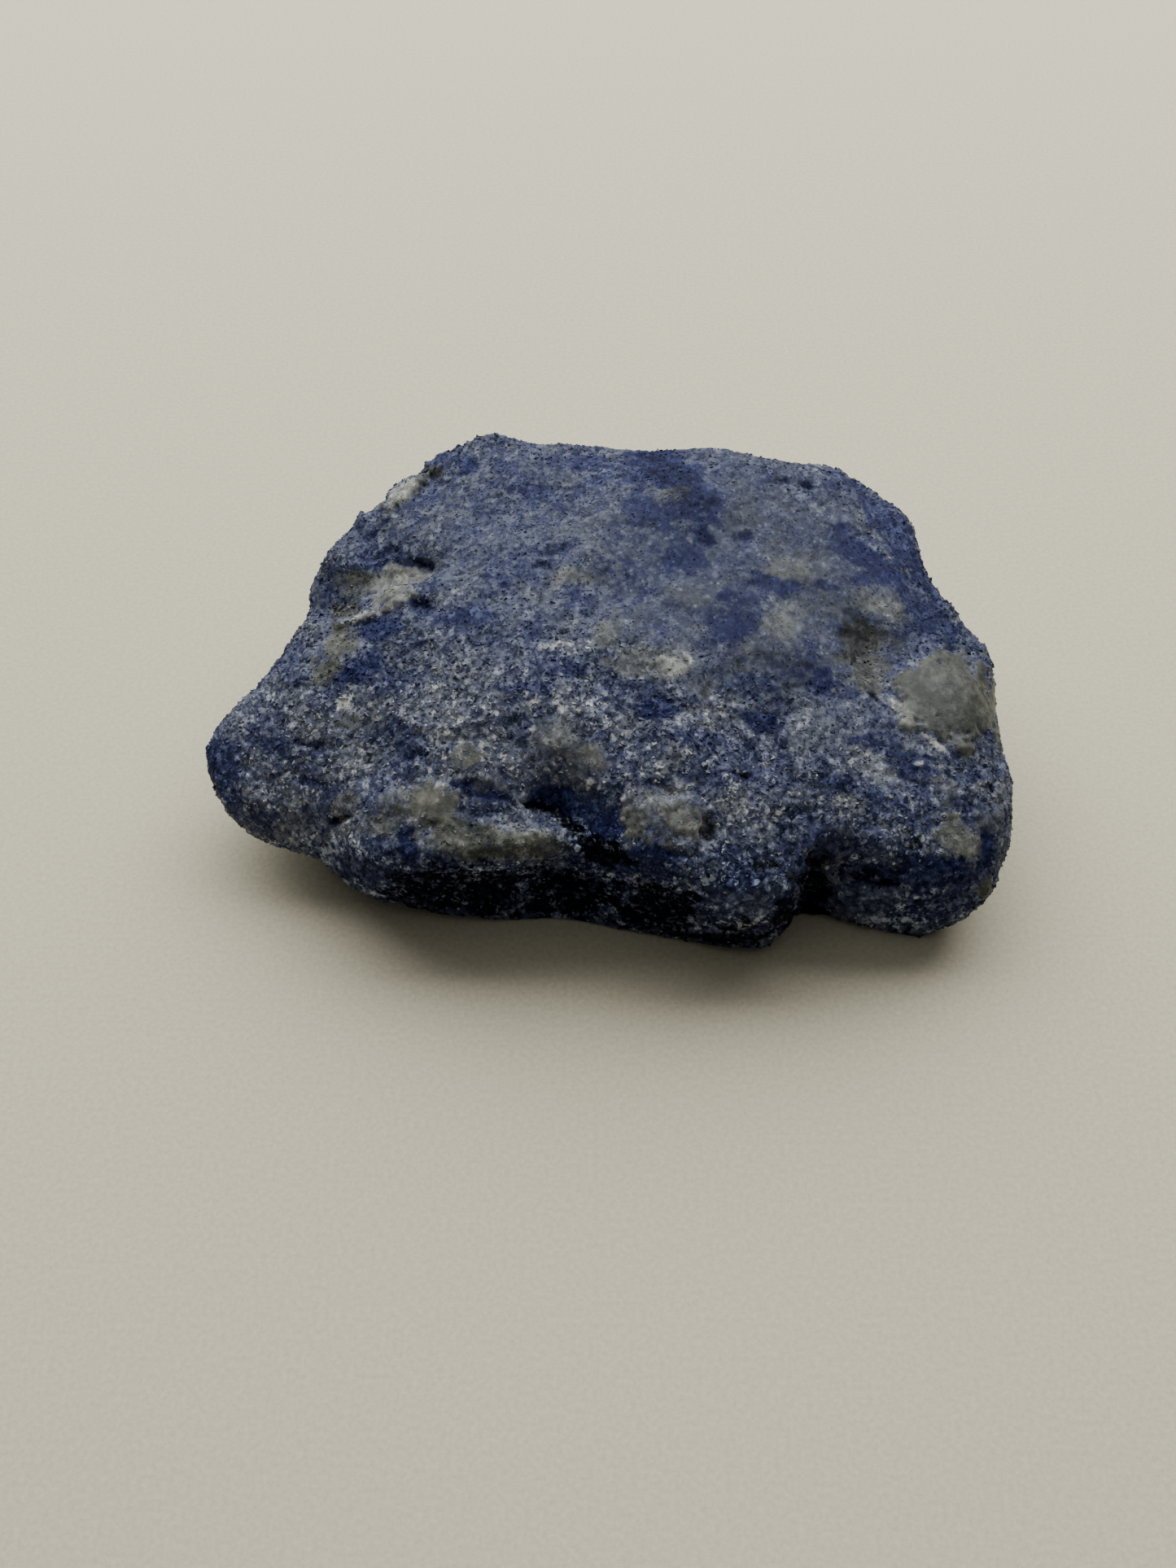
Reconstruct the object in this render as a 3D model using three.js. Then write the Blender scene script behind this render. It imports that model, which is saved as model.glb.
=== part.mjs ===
// A hand specimen of dumortierite quartz: one broken, weathered stone, in millimetres, +Z up.
// Its broad top slopes down to the front (-Y), its underside rises towards the left tip, and it
// rests on a flat fracture at z = 0. The origin is the centre of its bounding box, on that face.
import * as THREE from "three";
import { mergeVertices } from "three/addons/utils/BufferGeometryUtils.js";
import { ImprovedNoise } from "three/addons/math/ImprovedNoise.js";

// ---- Driving dimensions ----------------------------------------------------------------------

const CROWN_HEIGHT = 10.3; // the top of the stone above its rest face
const CROWN_FLATNESS = 2.4; // 2 is a plain dome, more is a flatter table
const BALL_DETAIL = 20; // the ball that is pressed into the stone has 20 * (detail + 1)^2 faces
const BROW_LEVEL = 0.22; // share of the ball's half height above which it becomes the top
const FOOT_LEVEL = -0.6; // and the one below which it becomes the rest face
const FOOT_MIDDLE = 12.5; // the radius that the rest face's outline nears towards its middle

// The stone's outline, anticlockwise from the right end. At each bearing from the middle:
// the brow is where the top turns over, the belly the widest place, the foot the rest face's edge.
const STATIONS = [
  // bearing, brow radius, brow height, belly radius, belly height, foot radius
  [4, 15.5, 8.2, 17.2, 5.6, 14.8],
  [10, 14.2, 8.6, 16.1, 6.0, 14.3],
  [17, 14.6, 8.8, 16.0, 6.3, 14.0],
  [24, 15.3, 9.1, 16.6, 6.6, 13.8],
  [30, 15.4, 9.1, 16.6, 6.6, 13.5],
  [36, 15.5, 9.2, 16.4, 6.6, 13.2],
  [41, 14.8, 9.4, 15.5, 6.2, 12.4],
  [52, 12.8, 9.7, 13.8, 5.6, 11.0],
  [65, 11.7, 9.8, 13.0, 5.4, 10.4],
  [78, 11.1, 10.0, 12.4, 5.0, 10.0],
  [95, 11.2, 9.6, 12.6, 5.0, 10.0],
  [107, 12.1, 9.2, 13.2, 5.6, 10.6],
  [111, 13.1, 9.4, 14.0, 6.2, 11.0],
  [114, 14.6, 9.6, 15.0, 6.6, 11.4],
  [121, 14.8, 9.0, 15.4, 6.2, 12.0],
  [129, 14.0, 8.5, 14.8, 6.4, 12.0],
  [138, 13.8, 8.1, 14.6, 6.0, 12.0],
  [147, 13.9, 8.0, 14.8, 6.0, 12.0],
  [155, 13.8, 7.6, 15.0, 5.8, 12.0],
  [163, 13.8, 7.3, 15.1, 5.3, 11.6],
  [168, 13.2, 6.9, 14.7, 4.8, 11.5],
  [175, 13.9, 6.8, 15.4, 4.6, 12.0],
  [181, 14.4, 6.5, 15.8, 4.5, 12.0],
  [187, 15.4, 6.3, 17.1, 4.3, 12.4],
  [191, 16.7, 6.1, 18.5, 4.0, 12.8],
  [196, 17.4, 5.7, 19.3, 3.8, 13.0],
  [202, 17.2, 5.4, 19.1, 3.2, 13.0],
  [208, 16.6, 5.4, 18.2, 3.1, 13.0],
  [215, 15.5, 5.6, 16.4, 3.0, 13.4],
  [222, 15.1, 5.8, 15.8, 3.3, 14.0],
  [230, 14.8, 5.9, 15.5, 4.8, 13.8],
  [239, 13.9, 6.0, 14.5, 5.2, 13.0],
  [250, 12.5, 6.3, 13.0, 5.4, 12.1],
  [259, 11.7, 6.5, 12.3, 5.5, 11.6],
  [265, 11.6, 6.9, 12.3, 5.6, 11.7],
  [272, 12.3, 7.0, 13.0, 5.6, 12.1],
  [280, 13.0, 6.8, 13.8, 5.1, 12.6],
  [288, 13.4, 6.7, 14.5, 4.2, 13.4],
  [294, 13.6, 6.4, 15.1, 3.6, 14.1],
  [301, 14.2, 6.2, 15.9, 3.5, 14.5],
  [306, 14.4, 6.3, 14.6, 5.1, 13.7],
  [310, 14.7, 6.1, 14.4, 5.3, 13.8],
  [314, 15.6, 6.1, 17.0, 4.2, 16.7],
  [317, 16.5, 6.1, 18.7, 3.2, 18.8],
  [321, 17.4, 6.0, 19.6, 2.9, 19.2],
  [326, 18.3, 5.8, 21.1, 2.5, 20.0],
  [329, 18.7, 5.9, 20.8, 3.1, 19.0],
  [332, 18.8, 6.0, 20.4, 3.4, 18.2],
  [337, 18.1, 6.4, 19.6, 4.5, 16.8],
  [343, 17.1, 6.9, 18.5, 4.8, 15.8],
  [350, 16.4, 7.4, 18.0, 4.9, 15.2],
  [358, 16.0, 7.9, 17.7, 5.4, 15.0],
];

// Lumps and hollows: the surface rises along its own normal by height, in a round spot about
// "from" or all along the line to "to".
const RELIEF = [
  { name: "cleft", from: [-14.6, 3.2, 6.6], to: [-8.8, 2.2, 9], radius: 1.5, height: -0.8 },
  { name: "pit at its end", from: [-8.6, 2.6, 9], radius: 1.1, height: -0.5 },
  { name: "pit above it", from: [-11.2, 4.0, 8.4], radius: 1.1, height: -0.5 },
  { name: "ridge below the cleft", from: [-12.5, 0.6, 7.6], to: [-8, 0.6, 9], radius: 1.5, height: 0.5 },
  { name: "knob above the cleft", from: [-13.4, 4.9, 7.4], radius: 2.2, height: 0.3 },
  { name: "corner knob", from: [-5.3, 12.6, 9.3], radius: 1.5, height: 0.4 },
  { name: "quartz knob at the back left", from: [-9.7, 10.2, 7.6], radius: 1.5, height: 0.8 },
  { name: "small quartz knob", from: [-8.2, 11.4, 8.0], radius: 1.2, height: 0.6 },
  { name: "quartz lump at the right end", from: [15.0, -4.6, 7.2], radius: 3.2, height: 0.6 },
  { name: "hollow beside it", from: [11.6, -2.4, 8.8], radius: 2.2, height: -0.6 },
  { name: "pebble near the front", from: [3.4, -8.3, 8.2], radius: 1.7, height: 0.4 },
  { name: "pit beside it", from: [5.4, -8.9, 8.0], radius: 0.9, height: -0.7 },
  { name: "pebble at the front right", from: [15.2, -9.9, 5.1], radius: 1.4, height: 0.4 },
  { name: "pale hollow on the left", from: [-7.4, -1.8, 8.2], radius: 2.0, height: -0.3 },
  { name: "gully", from: [-2.2, -10.4, 7.3], to: [0.2, -12.2, 5.6], radius: 1.8, height: -0.8 },
  { name: "left ledge", from: [-9, -12.2, 5.6], to: [-3.4, -12, 5.9], radius: 1.5, height: 0.4 },
  { name: "undercut below the ledge", from: [-8, -11.6, 2.4], to: [-2.6, -11.8, 2.6], radius: 1.8, height: -0.6 },
  { name: "nose", from: [5.6, -13.8, 4.4], radius: 1.8, height: 0.4 },
  { name: "cave beside the nose", from: [8.6, -12.2, 3.8], radius: 1.7, height: -0.4 },
  { name: "step along the back", from: [8.4, 11.4, 4.6], to: [-1.6, 12.4, 6.2], radius: 1.5, height: -0.6 },
  { name: "scar low on the back", from: [-4.6, 11.0, 2.6], to: [-9.4, 8.8, 4.6], radius: 1.8, height: -0.6 },
  { name: "shelf at the right end", from: [16.6, 2.2, 3.6], to: [18.0, -5.0, 2.2], radius: 1.6, height: -0.6 },
  { name: "lump at the back right", from: [13.4, 7.4, 3.4], radius: 2.4, height: 0.5 },
  { name: "scar under the tip", from: [-14.8, -3.0, 1.6], radius: 2.2, height: -0.5 },
];

// Flat breaks on the far side: what stands out past a break's plane is gone. Each plane passes
// through its point and faces along its normal.
const BREAKS = [
  { name: "back wall", point: [1.5, 11.6, 5], normal: [-0.08, 0.96, -0.27] },
  { name: "back right", point: [12.2, 7.4, 4], normal: [0.78, 0.5, -0.38] },
  { name: "under the right end", point: [16.2, -1.5, 2.2], normal: [0.66, 0.1, -0.74] },
  { name: "under the left tip", point: [-14.6, -4.2, 1.6], normal: [-0.42, 0.06, -0.9] },
  { name: "back left", point: [-11.2, 8.4, 4.2], normal: [-0.66, 0.5, -0.56] },
];
const BREAK_ROUNDING = 0.25; // how far a break's edge is worn round

const REST_PAD = { x: 1, y: -2, radius: 5.5 }; // the middle of the rest face, with no hollow
const HOLLOW_LENGTH = 5.4; // the spacing of the hollows around it
const HOLLOW_DEPTH = 1.8;
const HOLLOW_FRONT = -8.5; // the rest face is whole in front of this
const RELAX_ROUNDS = 2; // how often the folds in the surface are eased

const WAVES = [
  // wavelength, height
  [6.5, 0.55],
  [3.1, 0.34],
  [1.5, 0.18],
];

// ---- Shape -----------------------------------------------------------------------------------

const noise = new ImprovedNoise();
const smooth = (low, high, value) => THREE.MathUtils.smoothstep(value, low, high);

// Column k of STATIONS at a bearing in degrees, on a smooth closed curve through the stations.
function station(bearing, k) {
  const count = STATIONS.length;
  const at = (i) => {
    const turn = Math.floor(i / count);
    const row = STATIONS[i - turn * count];
    return [row[0] + 360 * turn, row[k]];
  };
  let i = STATIONS.findIndex((row) => row[0] > bearing);
  if (i < 0) i = count;
  const [a, b, c, d] = [at(i - 2), at(i - 1), at(i), at(i + 1)];
  const span = c[0] - b[0];
  const t = (bearing - b[0]) / span;
  const slopeB = ((c[1] - a[1]) / (c[0] - a[0])) * span;
  const slopeC = ((d[1] - b[1]) / (d[0] - b[0])) * span;
  const [t2, t3] = [t * t, t * t * t];
  const ends = (2 * t3 - 3 * t2 + 1) * b[1] + (3 * t2 - 2 * t3) * c[1];
  return ends + (t3 - 2 * t2 + t) * slopeB + (t3 - t2) * slopeC;
}

// The ball's point, as a unit vector, pressed into the stone's plain form.
function press(point) {
  const bearing = (THREE.MathUtils.radToDeg(Math.atan2(point.y, point.x)) + 360) % 360;
  const [browR, browZ, bellyR, bellyZ, footR] = [1, 2, 3, 4, 5].map((k) => station(bearing, k));
  const level = point.z;
  let radius;
  let height;
  if (level > BROW_LEVEL) {
    const share = Math.sqrt((1 - level) / (1 - BROW_LEVEL));
    radius = share * browR;
    height = browZ + (CROWN_HEIGHT - browZ) * (1 - share ** CROWN_FLATNESS);
  } else if (level < FOOT_LEVEL) {
    const share = Math.sqrt((1 + level) / (1 + FOOT_LEVEL));
    radius = share * (FOOT_MIDDLE + (footR - FOOT_MIDDLE) * share ** 3);
    height = 0;
  } else {
    const bellyLevel = FOOT_LEVEL + 0.45 * (BROW_LEVEL - FOOT_LEVEL);
    if (level > bellyLevel) {
      const t = (level - bellyLevel) / (BROW_LEVEL - bellyLevel);
      const slope = (CROWN_FLATNESS * (CROWN_HEIGHT - browZ)) / browR;
      const reach = 0.55 * (bellyR - browR);
      const rise = 0.55 * (browZ - bellyZ);
      radius = bezier(t, bellyR, bellyR, browR + reach, browR);
      height = bezier(t, bellyZ, bellyZ + rise, browZ - reach * slope, browZ);
    } else {
      const t = (level - FOOT_LEVEL) / (bellyLevel - FOOT_LEVEL);
      const turn = (t * Math.PI) / 2;
      radius = footR + (bellyR - footR) * (0.5 * t + 0.5 * Math.sin(turn));
      height = bellyZ * (0.5 * t + 0.5 * (1 - Math.cos(turn)));
    }
  }
  const angle = THREE.MathUtils.degToRad(bearing);
  return new THREE.Vector3(radius * Math.cos(angle), radius * Math.sin(angle), height);
}

function bezier(t, a, b, c, d) {
  const s = 1 - t;
  return s * s * s * a + 3 * s * s * t * b + 3 * s * t * t * c + t * t * t * d;
}

// How far the surface rises at a point, from the lumps, the hollows and the waves.
function relief(point) {
  let rise = 0;
  for (const spot of RELIEF) {
    const from = new THREE.Vector3(...spot.from);
    const line = new THREE.Line3(from, new THREE.Vector3(...(spot.to ?? spot.from)));
    const near = spot.to ? line.closestPointToPoint(point, true, new THREE.Vector3()) : from;
    const share = Math.min(1, near.distanceTo(point) / spot.radius);
    rise += spot.height * (1 - share ** 2) ** 2;
  }
  for (const [length, height] of WAVES) {
    const q = point.clone().divideScalar(length).addScalar(length * 7.3);
    rise += height * noise.noise(q.x, q.y, q.z);
  }
  return rise;
}

// The point moved back inside the flat breaks, with a slightly rounded edge to each.
function trim(point) {
  for (const { point: through, normal } of BREAKS) {
    const facing = new THREE.Vector3(...normal).normalize();
    const excess = facing.dot(point) - facing.dot(new THREE.Vector3(...through));
    if (excess > -BREAK_ROUNDING) {
      const cut = (excess + BREAK_ROUNDING) ** 2 / (4 * BREAK_ROUNDING);
      point.addScaledVector(facing, -(excess < BREAK_ROUNDING ? cut : excess));
    }
  }
}

// The height of the rest face above its flat pad.
function hollow(point) {
  const fromPad = Math.hypot(point.x - REST_PAD.x, point.y - REST_PAD.y) - REST_PAD.radius;
  const share = smooth(0, 2.5, fromPad) * smooth(HOLLOW_FRONT, HOLLOW_FRONT + 2, point.y);
  const coarse = noise.noise(point.x / HOLLOW_LENGTH, point.y / HOLLOW_LENGTH, 3.7);
  const fine = noise.noise((2.6 * point.x) / HOLLOW_LENGTH, (2.6 * point.y) / HOLLOW_LENGTH, 8.1);
  return HOLLOW_DEPTH * share * Math.max(0, coarse + 0.35 * fine + 0.05);
}

// Each point moved towards the middle of its neighbours, except on the flat of the rest face.
function relax(stone) {
  const position = stone.getAttribute("position");
  const corners = stone.index.array;
  for (let round = 0; round < RELAX_ROUNDS; round++) {
    const sum = new Float64Array(3 * position.count);
    const count = new Float64Array(position.count);
    for (let i = 0; i < corners.length; i++) {
      const next = i % 3 === 2 ? i - 2 : i + 1;
      const [a, b] = [corners[i], corners[next]];
      sum[3 * a] += position.getX(b);
      sum[3 * a + 1] += position.getY(b);
      sum[3 * a + 2] += position.getZ(b);
      count[a] += 1;
    }
    for (let i = 0; i < position.count; i++) {
      if (position.getZ(i) === 0) continue;
      const [x, y, z] = [0, 1, 2].map((k) => sum[3 * i + k] / count[i]);
      position.setXYZ(
        i,
        0.5 * (position.getX(i) + x),
        0.5 * (position.getY(i) + y),
        0.5 * (position.getZ(i) + z),
      );
    }
  }
}

function stoneGeometry() {
  const ball = new THREE.IcosahedronGeometry(1, BALL_DETAIL);
  ball.deleteAttribute("uv");
  ball.deleteAttribute("normal");
  const stone = mergeVertices(ball, 1e-5);
  const position = stone.getAttribute("position");
  const point = new THREE.Vector3();
  for (let i = 0; i < position.count; i++) {
    point.fromBufferAttribute(position, i);
    position.setXYZ(i, ...press(point.normalize()));
  }
  stone.computeVertexNormals();
  const normal = stone.getAttribute("normal");
  const out = new THREE.Vector3();
  for (let i = 0; i < position.count; i++) {
    point.fromBufferAttribute(position, i);
    const fade = smooth(0, 0.8, point.z);
    if (point.z <= 0) point.z = hollow(point);
    trim(point);
    out.fromBufferAttribute(normal, i);
    point.addScaledVector(out, relief(point) * fade);
    position.setXYZ(i, point.x, point.y, Math.max(0, point.z));
  }
  relax(stone);
  stone.computeBoundingBox();
  const middle = stone.boundingBox.getCenter(new THREE.Vector3());
  stone.translate(-middle.x, -middle.y, 0);
  stone.computeVertexNormals();
  return stone;
}

// ---- Scene graph -----------------------------------------------------------------------------

const stone = new THREE.Mesh(
  stoneGeometry(),
  new THREE.MeshStandardMaterial({ color: 0x3d4a78, roughness: 0.75, metalness: 0 }),
);
stone.name = "dumortierite_stone";

const specimen = new THREE.Group();
specimen.add(stone);

export default specimen;
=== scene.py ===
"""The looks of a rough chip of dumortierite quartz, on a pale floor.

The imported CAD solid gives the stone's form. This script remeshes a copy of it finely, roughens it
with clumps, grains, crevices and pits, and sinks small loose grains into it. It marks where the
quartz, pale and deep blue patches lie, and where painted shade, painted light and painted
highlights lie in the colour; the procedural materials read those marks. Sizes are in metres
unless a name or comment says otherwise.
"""

import math
from typing import NamedTuple

import bpy
import numpy as np
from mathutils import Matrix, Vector, noise


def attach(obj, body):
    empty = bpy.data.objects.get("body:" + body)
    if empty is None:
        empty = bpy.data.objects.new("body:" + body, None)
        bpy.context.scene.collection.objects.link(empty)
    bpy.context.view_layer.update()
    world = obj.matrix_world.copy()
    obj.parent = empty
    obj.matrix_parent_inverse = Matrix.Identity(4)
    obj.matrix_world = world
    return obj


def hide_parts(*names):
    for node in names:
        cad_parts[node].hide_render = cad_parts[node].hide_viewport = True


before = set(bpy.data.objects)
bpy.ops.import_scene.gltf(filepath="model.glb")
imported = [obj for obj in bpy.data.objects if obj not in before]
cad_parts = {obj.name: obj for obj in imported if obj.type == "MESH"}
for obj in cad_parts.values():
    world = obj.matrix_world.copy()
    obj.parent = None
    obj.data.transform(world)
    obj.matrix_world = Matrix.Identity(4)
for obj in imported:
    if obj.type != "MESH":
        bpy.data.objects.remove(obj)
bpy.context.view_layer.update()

MM = 0.001

# ---- Camera ----------------------------------------------------------------------------------

PHOTO_WIDTH = 1445  # pixels
PHOTO_HEIGHT = 1927  # pixels
CAMERA_TARGET = Vector((-0.65, -6.60, 5.0)) * MM
CAMERA_DISTANCE = 80.5 * MM
CAMERA_ELEVATION = math.radians(47)
CAMERA_ANGLE = math.radians(36)  # across the photograph's width

camera_back = Vector((0, -math.cos(CAMERA_ELEVATION), math.sin(CAMERA_ELEVATION)))
camera_up = Vector((0, math.sin(CAMERA_ELEVATION), math.cos(CAMERA_ELEVATION)))
camera_place = CAMERA_TARGET + CAMERA_DISTANCE * camera_back


def make_camera():
    data = bpy.data.cameras.new("camera")
    data.sensor_fit = "HORIZONTAL"
    data.angle = CAMERA_ANGLE
    data.clip_start = MM
    camera = bpy.data.objects.new("camera", data)
    camera.location = camera_place
    camera.rotation_euler = (math.pi / 2 - CAMERA_ELEVATION, 0, 0)
    bpy.context.scene.collection.objects.link(camera)
    bpy.context.scene.camera = camera


def photo_pixels(points):
    """Where each point (an n by 3 array) shows in the photograph, in its pixels."""
    away = points - np.array(camera_place)
    depth = -(away @ np.array(camera_back))
    focal = PHOTO_WIDTH / 2 / math.tan(CAMERA_ANGLE / 2)
    x = PHOTO_WIDTH / 2 + focal * away[:, 0] / depth
    y = PHOTO_HEIGHT / 2 - focal * (away @ np.array(camera_up)) / depth
    return x, y


# ---- The stone's patches ---------------------------------------------------------------------

# What the surface is marked with: how pale, glassy, blue and dark it is, how calm its relief, how
# hazy or crisp its grains, how streaked it is, and the tone of the clump it lies in. Pale holds
# pale grains and also painted light and painted highlights; dark holds dark stain and also painted
# shade.
MARKS = ("pale", "glass", "blue", "dark", "calm", "haze", "crisp", "streak", "clump")
# How strongly a spot of each kind sets those marks.
KINDS = {
    # White spots are white grains, and also painted highlights on lit ledge edges, rims and specks.
    "white_grain_and_highlight": {"pale": 1.0},
    "pale": {"pale": 0.55},
    "tan": {"pale": 0.28, "glass": 0.6, "calm": 0.3},
    "glass": {"glass": 0.85, "calm": 0.35},
    "lens": {"glass": 1.0, "calm": 0.9, "pale": 0.16},
    "pebble": {"glass": 0.65, "calm": 0.5, "pale": 0.6},
    "facet": {"haze": 0.4, "calm": 0.6, "pale": 0.15},
    "milk": {"glass": 0.45, "calm": 0.6},
    "blue": {"blue": 0.5},
    "umber": {"dark": 0.38, "glass": 0.75},
    "navy": {"blue": 1.0},
    # Deep navy, darkened further with painted shade to offset the strong light and sheen on the
    # back of the top.
    "shaded_navy": {"blue": 1.0, "dark": 0.4},
    # A hazy blue facet darkened with painted shade.
    "dim": {"haze": 0.3, "calm": 0.6, "dark": 0.4, "blue": 0.4},
    # The next three kinds paint shade: pockets, pits, crevices, the cave and the undercut front
    # wall go dark as painted shade, and the first also adds blue stain.
    "shaded_blue_pocket": {"dark": 0.45, "blue": 0.3},
    "shade": {"dark": 0.75, "blue": 0.4},
    "pit": {"dark": 0.65},
    # These two make the grains paler: real pale grains, and on the broad front slopes also painted
    # light.
    "pale_and_painted_light": {"pale": 0.36, "blue": 0.14},
    "sugary_and_painted_light": {"pale": 0.42, "blue": 0.16},
    "haze": {"calm": 0.6, "haze": 1.0},
    "mist": {"calm": 0.35, "haze": 0.35},
    "crisp": {"crisp": 1.0},
    "streak": {"streak": 1.0},
}
FIRM_KINDS = ("lens", "pebble", "facet", "dim")  # lumps of quartz and faces with firm edges


class Oval(NamedTuple):
    """A turned oval by where it shows in the photograph, in its pixels."""

    x: float
    y: float
    half_width: float
    half_height: float
    turn: float = 0  # degrees, clockwise
    rise: float = 0.0  # how far the surface rises in its middle, in millimetres


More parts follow.
